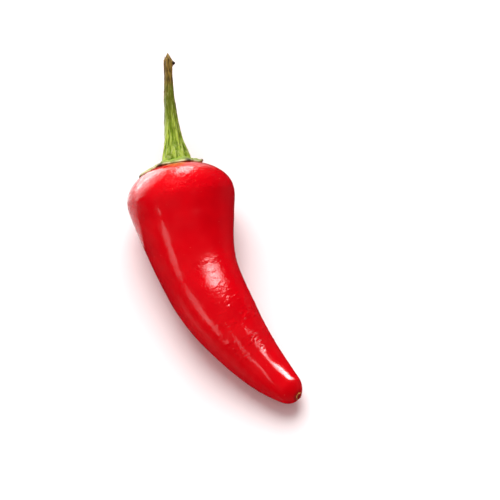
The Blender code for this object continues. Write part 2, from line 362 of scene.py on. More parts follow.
def mottle(tree, place, size, seed, edges, levels=(0.0, 1.0), detail=3.0, roughness=0.5):
    """Patches of grain, eased between two edges of the noise into the range between two levels."""
    return ramp(tree, grain(tree, place, size, seed, detail, roughness), edges, levels)


def rise_and_fall(tree, noise, height):
    """Noise from 0 to 1 as heights above and below a surface, `height` from trough to crest."""
    return times(tree, minus(tree, noise, 0.5), height)


def hump(tree, place, middle, radius):
    """A round rise, 1 at its middle, that falls away over a radius."""
    share = maths(tree, "DIVIDE", vector_maths(tree, "DISTANCE", place, middle), radius)
    return maths(tree, "EXPONENT", times(tree, share, share, -1.0))


def stored(tree, name, kind="FLOAT"):
    """A named value of a mesh's or curve's points, read in a Geometry Nodes tree."""
    inputs = {"Name": name}
    return node(tree, "GeometryNodeInputNamedAttribute", inputs, data_type=kind).outputs["Attribute"]


def push_out(tree, geometry, height):
    """Moves the points of a surface outwards by a height."""
    normal = node(tree, "GeometryNodeInputNormal").outputs[0]
    offset = node(tree, "ShaderNodeVectorMath", {0: normal, "Scale": height}, operation="SCALE").outputs[0]
    return node(tree, "GeometryNodeSetPosition", {"Geometry": geometry, "Offset": offset}).outputs[0]


def shape_tree(name, sizes):
    """A Geometry Nodes tree with named inputs for its sizes and its material: the tree and those inputs."""
    tree = bpy.data.node_groups.new(name, "GeometryNodeTree")
    tree.interface.new_socket("Geometry", in_out="INPUT", socket_type="NodeSocketGeometry")
    for label, (kind, value) in sizes.items():
        socket = tree.interface.new_socket(label, in_out="INPUT", socket_type="NodeSocket" + kind)
        socket.default_value = value
    tree.interface.new_socket("Material", in_out="INPUT", socket_type="NodeSocketMaterial")
    tree.interface.new_socket("Geometry", in_out="OUTPUT", socket_type="NodeSocketGeometry")
    return tree, tree.nodes.new("NodeGroupInput").outputs


def finish_tree(tree, given, geometry):
    """Ends a tree: copies made real, smooth faces and the given material."""
    real = node(tree, "GeometryNodeRealizeInstances", {"Geometry": geometry})
    smooth = node(tree, "GeometryNodeSetShadeSmooth", {"Geometry": real.outputs[0]})
    inputs = {"Geometry": smooth.outputs[0], "Material": given["Material"]}
    painted = node(tree, "GeometryNodeSetMaterial", inputs)
    node(tree, "NodeGroupOutput", {0: painted.outputs[0]})
    return tree


def grow(name, source, tree, sizes):
    """Runs a tree on a mesh or curve with its sizes set, and gives a new object with the plain result."""
    carrier = bpy.data.objects.new(name + "_source", source)
    bpy.context.scene.collection.objects.link(carrier)
    modifier = carrier.modifiers.new(tree.name, "NODES")
    modifier.node_group = tree
    for socket in tree.interface.items_tree:
        if socket.in_out == "INPUT" and socket.name in sizes:
            modifier[socket.identifier] = sizes[socket.name]
    bpy.context.view_layer.update()
    grown = carrier.evaluated_get(bpy.context.evaluated_depsgraph_get())
    mesh = bpy.data.meshes.new_from_object(grown)
    mesh.name = name
    carrier.modifiers.remove(modifier)
    bpy.data.objects.remove(carrier)
    piece = bpy.data.objects.new(name, mesh)
    bpy.context.scene.collection.objects.link(piece)
    return piece


def relief_tree():
    """Marks of growth on a skin: broad waves, ripples, pits, crosswise wrinkles and one shallow dent."""
    tree, given = shape_tree(
        "growth_relief",
        {
            "Wave Height": ("Float", 0.0),
            "Wave Size": ("Float", 0.01),
            "Ripple Height": ("Float", 0.0),
            "Ripple Size": ("Float", 0.003),
            "Pit Depth": ("Float", 0.0),
            "Pit Spacing": ("Float", 0.005),
            "Pit Width": ("Float", 0.3),
            "Wrinkle Height": ("Float", 0.0),
            "Wrinkle Size": ("Float", 0.001),
            "Dent Place": ("Vector", (0.0, 0.0, 0.0)),
            "Dent Depth": ("Float", 0.0),
            "Dent Radius": ("Float", 0.003),
            "Floor Margin": ("Float", 0.001),
            "Seed": ("Float", 0.0),
        },
    )
    place = node(tree, "GeometryNodeInputPosition").outputs[0]
    rippled = stored(tree, "rippled")
    waves = grain(tree, place, given["Wave Size"], given["Seed"], detail=1.0)
    waves = rise_and_fall(tree, waves, given["Wave Height"])
    ripples = grain(tree, place, given["Ripple Size"], given["Seed"], detail=1.5)
    ripples = times(tree, rise_and_fall(tree, ripples, given["Ripple Height"]), rippled)
    pit_scale = maths(tree, "DIVIDE", 1.0, given["Pit Spacing"])
    pits = node(tree, "ShaderNodeTexVoronoi", {"Vector": place, "Scale": pit_scale}).outputs["Distance"]
    pits = ramp(tree, pits, edges=(0.0, given["Pit Width"]), levels=(-1.0, 0.0))
    pits = times(tree, pits, given["Pit Depth"], rippled)
    skin = stored(tree, "skin_place", "FLOAT_VECTOR")
    folds = mottle(tree, skin, given["Wrinkle Size"], given["Seed"], edges=(0.5, 0.78), detail=1.0)
    folds = times(tree, folds, given["Wrinkle Height"], stored(tree, "wrinkled"))
    dent = times(tree, hump(tree, place, given["Dent Place"], given["Dent Radius"]), given["Dent Depth"])
    height = node(tree, "ShaderNodeSeparateXYZ", {0: place}).outputs["Z"]
    off_floor = ramp(tree, height, edges=(0.0, given["Floor Margin"]))
    relief = plus(tree, waves, ripples, plus(tree, pits, minus(tree, folds, dent)))
    relief = times(tree, relief, off_floor, stored(tree, "free"))
    return finish_tree(tree, given, push_out(tree, given["Geometry"], relief))


def new_material(name, **values):
    """A Principled material with plain values set on its own sockets."""
    material = bpy.data.materials.new(name)
    material.use_nodes = True
    shader = material.node_tree.nodes["Principled BSDF"]
    for socket, value in values.items():
        shader.inputs[socket.replace("_", " ")].default_value = value
    return material, material.node_tree, shader


def blend_colour(tree, share, below, above):
    """One colour over another by a share from 0 to 1."""
    mix = node(tree, "ShaderNodeMix", {0: share}, data_type="RGBA")
    feed(tree, mix.inputs[6], below)
    feed(tree, mix.inputs[7], above)
    return mix.outputs[2]


def object_place(tree):
    return node(tree, "ShaderNodeTexCoord").outputs["Object"]


def mark(tree, name):
    """A named value of a mesh's points, read in a material."""
    return node(tree, "ShaderNodeAttribute", attribute_name=name).outputs["Fac"]


def roughen(tree, shader, height, depth, share):
    """Fine relief that the light alone shows."""
    bumps = node(tree, "ShaderNodeBump", {"Strength": share, "Distance": depth, "Height": height})
    feed(tree, shader.inputs["Normal"], bumps.outputs[0])


def glossy_red_skin():
    """Waxy red skin: clear gloss over an even red, cloudier and orange round the calyx, a few pale flecks."""
    material, tree, shader = new_material(
        "glossy_red_skin",
        IOR=1.42,
        Coat_Roughness=0.07,
        Coat_IOR=1.45,
        Subsurface_Weight=0.05,
        Subsurface_Radius=(0.0035, 0.0006, 0.0004),
        Subsurface_Scale=1.0,
    )
    place = object_place(tree)
    bloom = mark(tree, "bloom")
    wrinkled = mark(tree, "wrinkled")
    scuffed = mark(tree, "scuffed")

    cloud = mottle(tree, place, size=14 * MM, seed=1.0, edges=(0.3, 0.75))
    skin = blend_colour(tree, cloud, SKIN_RED, DEEP_RED)
    patch = mottle(tree, place, size=3 * MM, seed=4.0, edges=(0.42, 0.68), levels=(0.0, 0.6))
    tint = times(tree, mark(tree, "crown"), plus(tree, patch, CROWN_TINT_LEAST))
    skin = blend_colour(tree, tint, skin, CROWN_ORANGE)
    dots = node(tree, "ShaderNodeTexVoronoi", {"Vector": place, "Scale": 1 / FLECK_SPACING}).outputs
    lot = node(tree, "ShaderNodeSeparateColor", {0: dots["Color"]}).outputs[0]
    chosen = ramp(tree, lot, edges=(0.80, 0.84))
    dot = ramp(tree, dots["Distance"], edges=(0.05, 0.12), levels=(1.0, 0.0))
    skin = blend_colour(tree, times(tree, dot, chosen, FLECK_STRENGTH), skin, FLECK_PALE)
    skin = blend_colour(tree, mark(tree, "scar"), skin, SCAR_RED)
    feed(tree, shader.inputs["Base Color"], skin)

    dull = mottle(tree, place, size=5 * MM, seed=7.0, edges=(0.3, 0.75), levels=(0.10, 0.20))
    rubbed = mottle(tree, place, size=1.5 * MM, seed=9.0, edges=(0.3, 0.7), levels=(0.0, 0.12))
    dull = plus(tree, dull, times(tree, bloom, rubbed), times(tree, wrinkled, WRINKLE_DULLNESS))
    feed(tree, shader.inputs["Roughness"], dull)
    worn = mottle(tree, place, size=1.1 * MM, seed=11.0, edges=(0.40, 0.60), levels=(0.45, -0.55))
    waxed = plus(tree, WAX, times(tree, bloom, worn))
    waxed = minus(tree, waxed, times(tree, wrinkled, WAX_LOST_ON_WRINKLES))
    feed(tree, shader.inputs["Coat Weight"], waxed)

    pores = times(tree, grain(tree, place, size=0.5 * MM, seed=2.0, detail=2.0), PORE_HEIGHT)
    in_bloom = times(tree, bloom, PEEL_HEIGHT_IN_BLOOM)
    on_wrinkles = times(tree, wrinkled, PEEL_HEIGHT_ON_WRINKLES)
    in_scuffs = times(tree, scuffed, PEEL_HEIGHT_IN_SCUFFS)
    uneven = plus(tree, in_bloom, PEEL_HEIGHT, on_wrinkles, in_scuffs)
    peel = times(tree, grain(tree, place, size=0.9 * MM, seed=8.0, detail=1.0), uneven)
    along_skin = node(tree, "ShaderNodeAttribute", attribute_name="skin_place").outputs["Vector"]
    along_skin = vector_maths(tree, "MULTIPLY", along_skin, SCUFF_FINENESS)
    scuffs = times(tree, grain(tree, along_skin, size=0.42 * MM, seed=5.0, detail=2.0), scuffed)
    roughen(tree, shader, plus(tree, peel, scuffs, pores), depth=SKIN_BUMP, share=0.8)
    return material


relief = relief_tree()
rings, along, dimple, blossom_end = pod_rings()
dent_ring = np.argmin(np.abs(along - DENT_ALONG))
dent_place = rings[dent_ring][round(DENT_TURN / 360 * POD_SIDES)]
pod_mesh = closed_mesh("pod_form", dimple, rings, blossom_end[0], pod_marks(along))
pod_sizes = {
    "Wave Height": 0.16 * MM,
    "Wave Size": 9.0 * MM,
    "Ripple Height": 0.05 * MM,
    "Ripple Size": 2.0 * MM,
    "Pit Depth": 0.03 * MM,
    "Pit Spacing": 4.0 * MM,
    "Wrinkle Height": 0.08 * MM,
    "Wrinkle Size": 0.85 * MM,
    "Dent Place": tuple(dent_place),
    "Dent Depth": 0.27 * MM,
    "Dent Radius": 3.8 * MM,
    "Floor Margin": 2.0 * MM,
    "Seed": 3.0,
    "Material": glossy_red_skin(),
}
pod = grow("red_pod", pod_mesh, relief, pod_sizes)
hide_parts("pod")
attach(pod, "root")


# The blossom scar: a small ring of dry, golden tags left on the blunt tip where the flower's style fell
# off. They have grown on the button of skin there.
TAG_RING_RADIUS = 0.82 * MM
TAG_SINK = 0.12 * MM
TAGS = 15
TAG_SIZE = 0.24 * MM
TAG_STRETCH_LEAST = (0.45, 0.7, 0.5)
TAG_STRETCH_MOST = (1.0, 1.5, 1.3)
TAG_TURN = 0.6  # radians either way
RING_POINTS = 48
TAG_GOLD = (0.62, 0.33, 0.055, 1.0)
TAG_RUST = (0.16, 0.030, 0.010, 1.0)


def path_through(name, places, closed=False):
    """A curve that runs straight from point to point."""
    curve = bpy.data.curves.new(name, "CURVE")
    curve.dimensions = "3D"
    spline = curve.splines.new("POLY")
    spline.points.add(len(places) - 1)
    spline.points.foreach_set("co", np.c_[places, np.ones(len(places))].reshape(-1))
    spline.use_cyclic_u = closed
    return curve


def ring_path(name, centre, right, up, radius):
    """A closed curve round a centre."""
    return path_through(name, centre + ring_around(right, up, np.full(RING_POINTS, radius)), closed=True)


def random_vector(tree, least, most, seed):
    """A vector drawn for each copy, between two others."""
    inputs = {0: least, 1: most, "Seed": seed}
    return node(tree, "FunctionNodeRandomValue", inputs, data_type="FLOAT_VECTOR").outputs[0]


def copies_along(tree, given, copied, turn, stretch):
    """Copies of one shape, set at even steps along the given curve."""
    spots = node(tree, "GeometryNodeResampleCurve", {"Curve": given["Geometry"], "Count": given["Count"]})
    inputs = {"Points": spots.outputs[0], "Instance": copied.outputs[0], "Rotation": turn, "Scale": stretch}
    return node(tree, "GeometryNodeInstanceOnPoints", inputs).outputs[0]


def tag_tree():
    """Small crumpled tags set at uneven sizes along a curve."""
    tree, given = shape_tree(
        "withered_tags",
        {
            "Count": ("Int", 12),
            "Size": ("Float", 0.0003),
            "Crumple": ("Float", 0.00005),
            "Crumple Size": ("Float", 0.0003),
            "Seed": ("Int", 0),
        },
    )
    tag = node(tree, "GeometryNodeMeshIcoSphere", {"Radius": given["Size"], "Subdivisions": 4})
    stretch = random_vector(tree, TAG_STRETCH_LEAST, TAG_STRETCH_MOST, given["Seed"])
    turn = random_vector(tree, (-TAG_TURN,) * 3, (TAG_TURN,) * 3, given["Seed"])
    tags = copies_along(tree, given, tag, turn, stretch)
    real = node(tree, "GeometryNodeRealizeInstances", {"Geometry": tags}).outputs[0]
    place = node(tree, "GeometryNodeInputPosition").outputs[0]
    rough = grain(tree, place, given["Crumple Size"], seed=1.0, detail=2.0)
    crumpled = push_out(tree, real, rise_and_fall(tree, rough, given["Crumple"]))
    return finish_tree(tree, given, crumpled)


def dry_tissue():
    """Dry golden tissue with rusty patches."""
    material, tree, shader = new_material("dry_tissue", IOR=1.45, Roughness=0.55)
    place = object_place(tree)
    patch = mottle(tree, place, size=0.45 * MM, seed=3.0, edges=(0.42, 0.6), detail=2.0)
    feed(tree, shader.inputs["Base Color"], blend_colour(tree, patch, TAG_GOLD, TAG_RUST))
    return material


end_point, end_right, end_up, end_tipward = blossom_end
tag_sizes = {
    "Count": TAGS,
    "Size": TAG_SIZE,
    "Crumple": 0.16 * MM,
    "Crumple Size": 0.25 * MM,
    "Seed": 4,
    "Material": dry_tissue(),
}
tag_ring = ring_path("tag_ring", end_point - end_tipward * TAG_SINK, end_right, end_up, TAG_RING_RADIUS)
tags = grow("blossom_scar", tag_ring, tag_tree(), tag_sizes)
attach(tags, "root")


# The calyx: the leathery green cap left from the flower, a rounded six-sided disc about a millimetre
# thick. It is draped over the crown and has grown fast to it, with a short tooth at each corner, folds
# that run out to the teeth, a dried cream rim, and a groove round the foot of the stem.
CALYX_RADIUS = CALYX_COVER
CALYX_TOOTH_LENGTHS = (1.1 * MM, 0.9 * MM, 1.2 * MM, 3.1 * MM, 1.5 * MM, 1.7 * MM)
CALYX_TOOTH_CURLS = (1.3 * MM, 0.2 * MM, 0.3 * MM, 0.3 * MM, 0.1 * MM, 0.5 * MM)
CALYX_TOOTH_SHARPNESS = 1.7
CALYX_CURL_BEND = 6  # the higher, the nearer to its point a tooth curls up
CALYX_GAP = 0.06 * MM
CALYX_THICKNESS = 1.14 * MM
CALYX_EDGE_THICKNESS = 0.62 * MM
CALYX_EDGE_START = 0.93  # from here out to 1, the upper face rounds off to the rim
CALYX_EDGE_DROP = 0.22 * MM
CALYX_RAGGEDNESS = 0.16 * MM
CALYX_RAGGED_WAVES = (9, 14, 23, 31, 47)
CALYX_RIB_HEIGHT = 0.35 * MM
CALYX_VEINS = 30
CALYX_VEIN_HEIGHT = 0.10 * MM
CALYX_VEIN_WANDER = 0.12
CALYX_VEIN_WAVES = (2, 3, 5)
CALYX_COLLAR_RADIUS = 5.6 * MM
CALYX_COLLAR_HEIGHT = 0.5 * MM
CALYX_COLLAR_WIDTH = 0.6 * MM
CALYX_SEAT_RADIUS = 4.6 * MM
CALYX_SEAT_HEIGHT = 10.25 * MM
# Painted shade: the band of the groove round the stem's foot that is painted dark.
CALYX_GROOVE_SHADE = (CALYX_SEAT_RADIUS, CALYX_COLLAR_RADIUS - 0.2 * MM)
CALYX_FRESH_BAND = (CALYX_COLLAR_RADIUS - 0.4 * MM, CALYX_COLLAR_RADIUS + 1.2 * MM)
CALYX_SIDES = 288
CALYX_RINGS = 64
STEM_FOOT_OFFSET = 0.7 * MM
CALYX_OLIVE = (0.150, 0.200, 0.014, 1.0)
CALYX_LIGHT = (0.34, 0.40, 0.060, 1.0)
# The dark of the dried patches, and also of the painted shade round the stem's foot.
CALYX_DRIED_AND_SHADE = (0.020, 0.018, 0.007, 1.0)
CALYX_BROWN = (0.045, 0.046, 0.022, 1.0)
CALYX_FRESH = (0.22, 0.40, 0.020, 1.0)
CALYX_CREAM = (0.56, 0.60, 0.34, 1.0)
CREAM_LOST_ON_TEETH = 0.8


def on_crown(points):
    """Moves points made round the crown's axis, with +Z towards the tip, to their place."""
    right, up, tipward = ring_frame(CROWN_HEADING, CROWN_PITCH)
    points = np.asarray(points, float)
    return CROWN_CENTRE + points[..., :1] * right + points[..., 1:2] * up + points[..., 2:] * tipward


def tooth_share(angle):
    """For each direction, the tooth it falls in and how near it is to that tooth's point."""
    turn = np.mod(angle, 2 * math.pi) * len(CALYX_TOOTH_LENGTHS) / (2 * math.pi)
    nearest = np.round(turn)
    share = (1 + np.cos((turn - nearest) * 2 * math.pi)) / 2
    return nearest.astype(int) % len(CALYX_TOOTH_LENGTHS), share**CALYX_TOOTH_SHARPNESS


def wander(phi, seed, waves):
    """A smooth random wave round the circle, between about -1 and 1."""
    draw = np.random.default_rng(seed)
    total = np.zeros_like(phi)
    for count in waves:
        total += draw.uniform(0.4, 1.0) * np.cos(count * phi + draw.uniform(0, 2 * math.pi))
    return total / len(waves)


def calyx_rings():
    """Rings over the cap's upper face, then back under it, and the values that its colours follow."""
    phi = angles(CALYX_SIDES)
    tooth, share = tooth_share(phi)
    ragged = CALYX_RAGGEDNESS * wander(phi, seed=5, waves=CALYX_RAGGED_WAVES)
    outline = CALYX_RADIUS + np.array(CALYX_TOOTH_LENGTHS)[tooth] * share + ragged
    curl = np.array(CALYX_TOOTH_CURLS)[tooth] * share
    vein_phase = phi + CALYX_VEIN_WANDER * wander(phi, seed=8, waves=CALYX_VEIN_WAVES)
    upper, lower, out_values = [], [], []
    foot_values, tooth_values = [], []
    for out in np.arange(1, CALYX_RINGS + 1) / CALYX_RINGS:
        radius = outline * out
        under = crown_height(radius) + CALYX_GAP + curl * out**CALYX_CURL_BEND
        thickness = CALYX_THICKNESS + (CALYX_EDGE_THICKNESS - CALYX_THICKNESS) * out
        x, y = radius * np.cos(phi), radius * np.sin(phi)
        from_foot = np.hypot(x - STEM_FOOT_OFFSET, y)
        from_collar = (from_foot - CALYX_COLLAR_RADIUS) / CALYX_COLLAR_WIDTH
        collar = CALYX_COLLAR_HEIGHT * np.exp(-(from_collar**2))
        rib = CALYX_RIB_HEIGHT * share * math.sin(math.pi * out)
        vein = CALYX_VEIN_HEIGHT * np.cos(CALYX_VEINS * vein_phase) * math.sin(math.pi * out) ** 0.7
        edge = CALYX_EDGE_DROP * np.clip((out - CALYX_EDGE_START) / (1 - CALYX_EDGE_START), 0, 1) ** 2
        over = under + thickness + collar + rib + vein - edge
        over = np.where(from_foot < CALYX_SEAT_RADIUS, CALYX_SEAT_HEIGHT, over)
        upper.append(on_crown(np.stack((x, y, -over), axis=1)))
        lower.append(on_crown(np.stack((x, y, -under), axis=1)))
        out_values.append(np.full(CALYX_SIDES, out))
        foot_values.append(from_foot)
        tooth_values.append(share * out**3)
    rows = upper + lower[::-1]
    marks = {
        "out": np.array(out_values + [np.full(CALYX_SIDES, 1.0)] * CALYX_RINGS),
        "from_foot": np.array(foot_values + foot_values[::-1]),
        "tooth": np.array(tooth_values + tooth_values[::-1]),
        "free": np.array([np.ones(CALYX_SIDES)] * CALYX_RINGS + [np.zeros(CALYX_SIDES)] * CALYX_RINGS),
        "rippled": np.ones((CALYX_RINGS * 2, CALYX_SIDES)),
    }
    return rows, marks


def leathery_green():
    """Mottled olive leaf with dark dried patches, painted shade round the stem's foot, a fresh band round the
    stem, a cream rim, brown teeth.
    """
    material, tree, shader = new_material("leathery_green", IOR=1.45, Specular_IOR_Level=0.35)
    place = object_place(tree)
    from_foot = mark(tree, "from_foot")
    cloud = mottle(tree, place, size=1.8 * MM, seed=3.0, edges=(0.38, 0.62), detail=4.0)
    leaf = blend_colour(tree, cloud, CALYX_OLIVE, CALYX_LIGHT)
    dried = grain(tree, place, size=2.6 * MM, seed=9.0, detail=5.0, roughness=0.62)
    leaf = blend_colour(tree, ramp(tree, dried, edges=(0.57, 0.66), levels=(0.0, 0.85)), leaf, CALYX_DRIED_AND_SHADE)
    # Painted shade: darker into the groove and up to the stem's foot.
    leaf = blend_colour(tree, ramp(tree, from_foot, CALYX_GROOVE_SHADE, levels=(0.8, 0.0)), leaf, CALYX_DRIED_AND_SHADE)
    leaf = blend_colour(tree, ramp(tree, from_foot, CALYX_FRESH_BAND, levels=(0.95, 0.0)), leaf, CALYX_FRESH)
    brown = ramp(tree, mark(tree, "tooth"), edges=(0.6, 1.0))
    leaf = blend_colour(tree, brown, leaf, CALYX_BROWN)
    rim = ramp(tree, mark(tree, "out"), edges=(0.955, 0.995))
    beside_teeth = minus(tree, 1.0, times(tree, brown, CREAM_LOST_ON_TEETH))
    patchy = mottle(tree, place, size=1.2 * MM, seed=12.0, edges=(0.35, 0.6), levels=(0.25, 1.0), detail=2.0)
    leaf = blend_colour(tree, times(tree, rim, beside_teeth, patchy), leaf, CALYX_CREAM)
    feed(tree, shader.inputs["Base Color"], leaf)
    feed(tree, shader.inputs["Roughness"], ramp(tree, cloud, edges=(0.0, 1.0), levels=(0.48, 0.62)))
    cells = grain(tree, place, size=0.35 * MM, seed=5.0, detail=4.0, roughness=0.6)
    roughen(tree, shader, cells, depth=0.1 * MM, share=0.5)
    return material


rows, marks = calyx_rings()
seat = on_crown((0.0, 0.0, -CALYX_SEAT_HEIGHT))
under = on_crown((0.0, 0.0, -(crown_height(0.0) + CALYX_GAP)))
calyx_mesh = closed_mesh("calyx_form", seat, rows, under, marks)
calyx_sizes = {
    "Wave Height": 0.24 * MM,
    "Wave Size": 3.0 * MM,
    "Ripple Height": 0.20 * MM,
    "Ripple Size": 1.0 * MM,
    "Pit Depth": 0.10 * MM,
    "Pit Spacing": 1.6 * MM,
    "Floor Margin": 1.0 * MM,
    "Seed": 11.0,
    "Material": leathery_green(),
}
calyx = grow("leathery_calyx", calyx_mesh, relief, calyx_sizes)
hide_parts("calyx")
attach(calyx, "root")


# The stem: a tough fibrous stalk with a flared foot that sits in the calyx. Five ridges run along it with
# deep grooves between them, and it was torn from the plant just above the stub of a side shoot.
STEM_FOOT = CALYX_SEAT_HEIGHT + 0.05 * MM
STEM_END = 39.6 * MM
STEM_SPIKE = 2.1 * MM
STEM_SPIKE_LEAN = 0.3 * MM
STEM_SPIKE_THINNING = 0.92
STEM_SPIKE_BLUNTNESS = 0.85
STEM_LEAN = (
    (STEM_FOOT, STEM_FOOT_OFFSET),
    (15.0 * MM, 0.9 * MM),
    (20.0 * MM, 1.25 * MM),
    (27.0 * MM, 1.9 * MM),
    (33.0 * MM, 2.6 * MM),
    (STEM_END, 3.6 * MM),
)
STEM_RADII = (
    (STEM_FOOT, 4.1 * MM),
    (12.5 * MM, 3.75 * MM),
    (15.0 * MM, 3.0 * MM),
    (20.0 * MM, 2.15 * MM),
    (26.5 * MM, 1.65 * MM),
    (33.0 * MM, 1.3 * MM),
    (STEM_END, 1.2 * MM),
)
STEM_RIDGES = 5
STEM_TWIST = 40.0  # degrees from foot to end
STUB_HEIGHT = 38.4 * MM
STUB_ANGLE = 12.0
STUB_LENGTH = 0.95 * MM
STUB_WIDTH = 0.62 * MM
STEM_POINTS = 260
STEM_LIGHT = (0.36, 0.50, 0.055, 1.0)
# Painted shade: the dark green painted into the stem's grooves.
STEM_GROOVE_SHADE = (0.120, 0.215, 0.004, 1.0)
STEM_OLIVE = (0.095, 0.125, 0.004, 1.0)
STEM_BROWN = (0.30, 0.20, 0.035, 1.0)
STEM_UMBER = (0.065, 0.042, 0.008, 1.0)
STUB_BLACK = (0.008, 0.006, 0.004, 1.0)
THREAD_PALE = (0.42, 0.50, 0.15, 1.0)
THREAD_DARK = (0.062, 0.105, 0.004, 1.0)
# Painted light and shade: how much lighter the ridges are painted than the grooves.
RIDGE_PAINTED_LIGHT = 0.3
COLOUR_BLOTCHING = 0.35  # in terms of the stem's length


def stem_path():
    """The stem's middle line as a curve, from its foot to the torn splinter, with its radii."""
    heights = np.linspace(STEM_FOOT, STEM_END + STEM_SPIKE, STEM_POINTS)
    into_spike = np.clip((heights - STEM_END) / STEM_SPIKE, 0, 1)
    lean = smooth_through(STEM_LEAN, heights) + STEM_SPIKE_LEAN * into_spike
    thinning = 1 - STEM_SPIKE_THINNING * into_spike**STEM_SPIKE_BLUNTNESS
    radii = smooth_through(STEM_RADII, heights) * thinning
    points = on_crown(np.stack((lean, np.zeros_like(lean), -heights), axis=1))
    curve = path_through("stem_path", points)
    curve.splines[0].points.foreach_set("radius", radii)
    return curve


def stalk_tree():
    """A ribbed stalk along a curve: ridges that turn slowly, grooves between them, fibres and a side stub."""
    tree, given = shape_tree(
        "ribbed_stalk",
        {
            "Sides": ("Int", 120),
            "Ridges": ("Float", 5.0),
            "Ridge Depth": ("Float", 0.08),
            "Groove Depth": ("Float", 0.08),
            "Groove Width": ("Float", 0.24),
            "Fibre Depth": ("Float", 0.06),
            "Fibre Width": ("Float", 0.09),
            "Grain Run": ("Float", 1.4),
            "Twist": ("Float", 0.7),
            "Knot Height": ("Float", 0.0001),
            "Knot Size": ("Float", 0.002),
            "Stub Place": ("Vector", (0.0, 0.0, 0.0)),
            "Stub Length": ("Float", 0.001),
            "Stub Width": ("Float", 0.0006),
            "Seed": ("Float", 0.0),
        },
    )

    def keep(geometry, name, value):
        inputs = {"Geometry": geometry, "Name": name, "Value": value}
        return node(tree, "GeometryNodeStoreNamedAttribute", inputs, data_type="FLOAT").outputs[0]

    factor = node(tree, "GeometryNodeSplineParameter").outputs["Factor"]
    path = keep(given["Geometry"], "along", factor)
    path = keep(path, "thick", node(tree, "GeometryNodeInputRadius").outputs[0])
    circle = node(tree, "GeometryNodeCurvePrimitiveCircle", {"Resolution": given["Sides"], "Radius": 1.0})
    profile = keep(circle.outputs[0], "around", factor)
    thick = stored(tree, "thick")
    inputs = {"Curve": path, "Profile Curve": profile, "Scale": thick, "Fill Caps": True}
    tube = node(tree, "GeometryNodeCurveToMesh", inputs).outputs[0]

    along = stored(tree, "along")
    turn = minus(tree, times(tree, stored(tree, "around"), 2 * math.pi), times(tree, given["Twist"], along))
    ridge_wave = maths(tree, "COSINE", times(tree, turn, given["Ridges"]))
    inputs = {
        0: maths(tree, "COSINE", turn),
        1: maths(tree, "SINE", turn),
        2: times(tree, along, given["Grain Run"]),
    }
    round_stalk = node(tree, "ShaderNodeCombineXYZ", inputs).outputs[0]
    furrow = grain(tree, round_stalk, given["Groove Width"], given["Seed"], detail=2.0)
    furrow = ramp(tree, furrow, edges=(0.38, 0.62))
    fibre = minus(tree, grain(tree, round_stalk, given["Fibre Width"], given["Seed"], detail=2.0), 0.5)
    swell = times(tree, ridge_wave, given["Ridge Depth"])
    swell = minus(tree, swell, times(tree, furrow, given["Groove Depth"]))
    swell = plus(tree, swell, times(tree, fibre, given["Fibre Depth"]))
    place = node(tree, "GeometryNodeInputPosition").outputs[0]
    knots = grain(tree, place, given["Knot Size"], given["Seed"], detail=2.0)
    knots = rise_and_fall(tree, knots, given["Knot Height"])
    stub = hump(tree, place, given["Stub Place"], given["Stub Width"])
    rise = plus(tree, times(tree, swell, thick), knots, times(tree, stub, given["Stub Length"]))
    # Painted shade: how deep in its groove each point lies, which the stalk's material paints darker.
    tube = keep(tube, "groove", plus(tree, times(tree, ridge_wave, -RIDGE_PAINTED_LIGHT), furrow))
    tube = keep(tube, "stub", stub)
    tube = keep(tube, "fibre", fibre)
    return finish_tree(tree, given, push_out(tree, tube, rise))


def fibrous_stalk():
    """Green ribs painted lighter on their crests, with painted shade in the grooves at the foot; olive
    further up, brown and dry at the torn end.
    """
    material, tree, shader = new_material("fibrous_stalk", IOR=1.45, Specular_IOR_Level=0.3)
    place = object_place(tree)
    along = mark(tree, "along")
    threads = mark(tree, "fibre")
    # Painted light and shade: lighter green on the ridge crests, darker green in the grooves.
    groove = ramp(tree, mark(tree, "groove"), edges=(-0.1, 0.95))
    fresh = blend_colour(tree, groove, STEM_LIGHT, STEM_GROOVE_SHADE)
    blotches = rise_and_fall(tree, grain(tree, place, size=3 * MM, seed=2.0), COLOUR_BLOTCHING)
    upward = plus(tree, along, blotches)
    colour = blend_colour(tree, ramp(tree, upward, edges=(0.25, 0.62)), fresh, STEM_OLIVE)
    pale = ramp(tree, threads, edges=(-0.03, -0.14), levels=(0.0, 0.55))
    colour = blend_colour(tree, pale, colour, THREAD_PALE)
    shaded = ramp(tree, threads, edges=(0.02, 0.11), levels=(0.0, 0.62))
    colour = blend_colour(tree, shaded, colour, THREAD_DARK)
    patches = mottle(tree, place, size=1.3 * MM, seed=4.0, edges=(0.52, 0.64))
    at_foot = ramp(tree, along, edges=(0.05, 0.22), levels=(0.7, 0.0))
    colour = blend_colour(tree, times(tree, patches, at_foot), colour, THREAD_PALE)
    dry = blend_colour(tree, ramp(tree, threads, edges=(-0.10, 0.07)), STEM_BROWN, STEM_UMBER)
    colour = blend_colour(tree, ramp(tree, upward, edges=(0.62, 0.76)), colour, dry)
    colour = blend_colour(tree, ramp(tree, mark(tree, "stub"), edges=(0.15, 0.5)), colour, STUB_BLACK)
    feed(tree, shader.inputs["Base Color"], colour)
    feed(tree, shader.inputs["Roughness"], ramp(tree, along, edges=(0.2, 0.9), levels=(0.42, 0.7)))
    cells = grain(tree, place, size=0.3 * MM, seed=6.0, roughness=0.6)
    roughen(tree, shader, cells, depth=0.06 * MM, share=0.4)
    return material


